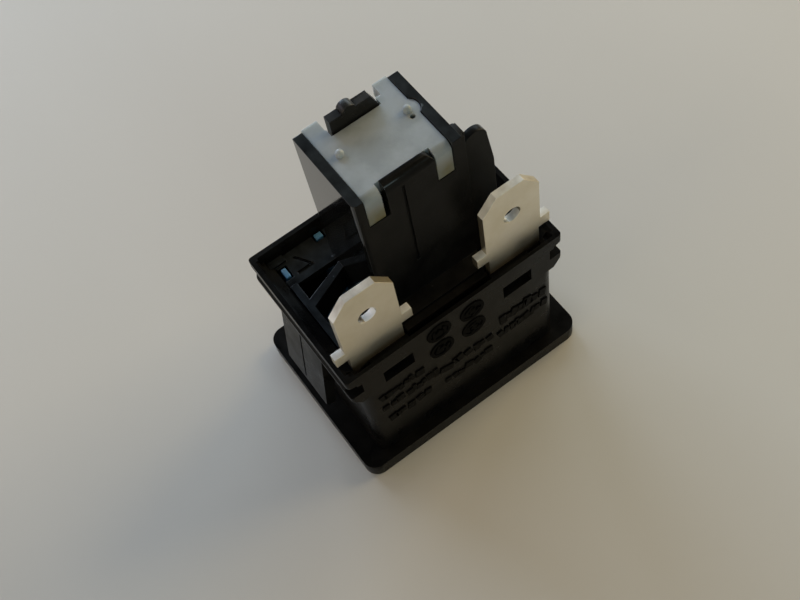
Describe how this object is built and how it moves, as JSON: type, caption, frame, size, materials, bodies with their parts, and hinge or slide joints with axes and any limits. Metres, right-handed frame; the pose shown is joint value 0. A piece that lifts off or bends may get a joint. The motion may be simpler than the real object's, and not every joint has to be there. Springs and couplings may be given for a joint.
{
  "type": "snap-in pushbutton switch",
  "caption": "Snap-in pushbutton switch with a rectangular bezel, spring snap wings, an open guide tower behind and upright push-on blade terminals.",
  "frame": {"origin": "centre of the bezel's front face, which the switch stands on", "axes": "+X along the row of blades, +Y from the terminal side to the back, +Z from the bezel up through the tower"},
  "size_m": [0.0276, 0.0206, 0.0403],
  "materials": {
    "black_housing": "semi-gloss moulding",
    "black_frame": "gloss moulding",
    "black_slider": "satin moulding",
    "natural_nylon": "milky, slightly translucent",
    "blue_button": "satin",
    "tinned_brass": "tin plated, rolled",
    "bronze_strip": "bare strip",
    "contact_silver": "turned silver",
    "spring_steel": "drawn wire"
  },
  "bodies": {
    "fixed": {"housing": "black_housing", "mechanism_frame": "black_frame", "tower_cap": "natural_nylon", "terminal_left": "tinned_brass", "terminal_right": "tinned_brass", "fixed_contact_left": "contact_silver", "fixed_contact_right": "contact_silver", "return_spring": "spring_steel"},
    "pushed": {"button": "blue_button", "slider": "black_slider", "contact_spring": "spring_steel"},
    "bridge": {"contact_bridge": "bronze_strip", "bridge_contact_left": "contact_silver", "bridge_contact_right": "contact_silver"},
    "latch": {"latch_pin": "spring_steel"}
  },
  "joints": [
    {"name": "press", "type": "slide", "parent": "fixed", "child": "pushed", "axis": [0, 0, 1], "range_m": [0, 0.003], "stiffness_N_per_m": 600, "springref_m": -0.004, "deforming": ["return_spring"]},
    {"name": "bridge_wipe", "type": "slide", "parent": "pushed", "child": "bridge", "axis": [0, 0, 1], "range_m": [-0.0012, 0], "deforming": ["contact_spring"]},
    {"name": "latch_swing", "type": "hinge", "parent": "fixed", "child": "latch", "pos_m": [0, 0.0019, 0.03555], "axis": [0, 1, 0], "range_deg": [0, 7.5]}
  ],
  "couplings": [
    {"joint": "bridge_wipe", "follows": "press", "ratio": -0.4},
    {"joint": "latch_swing", "follows": "press", "rad_per_m": 42.7}
  ]
}
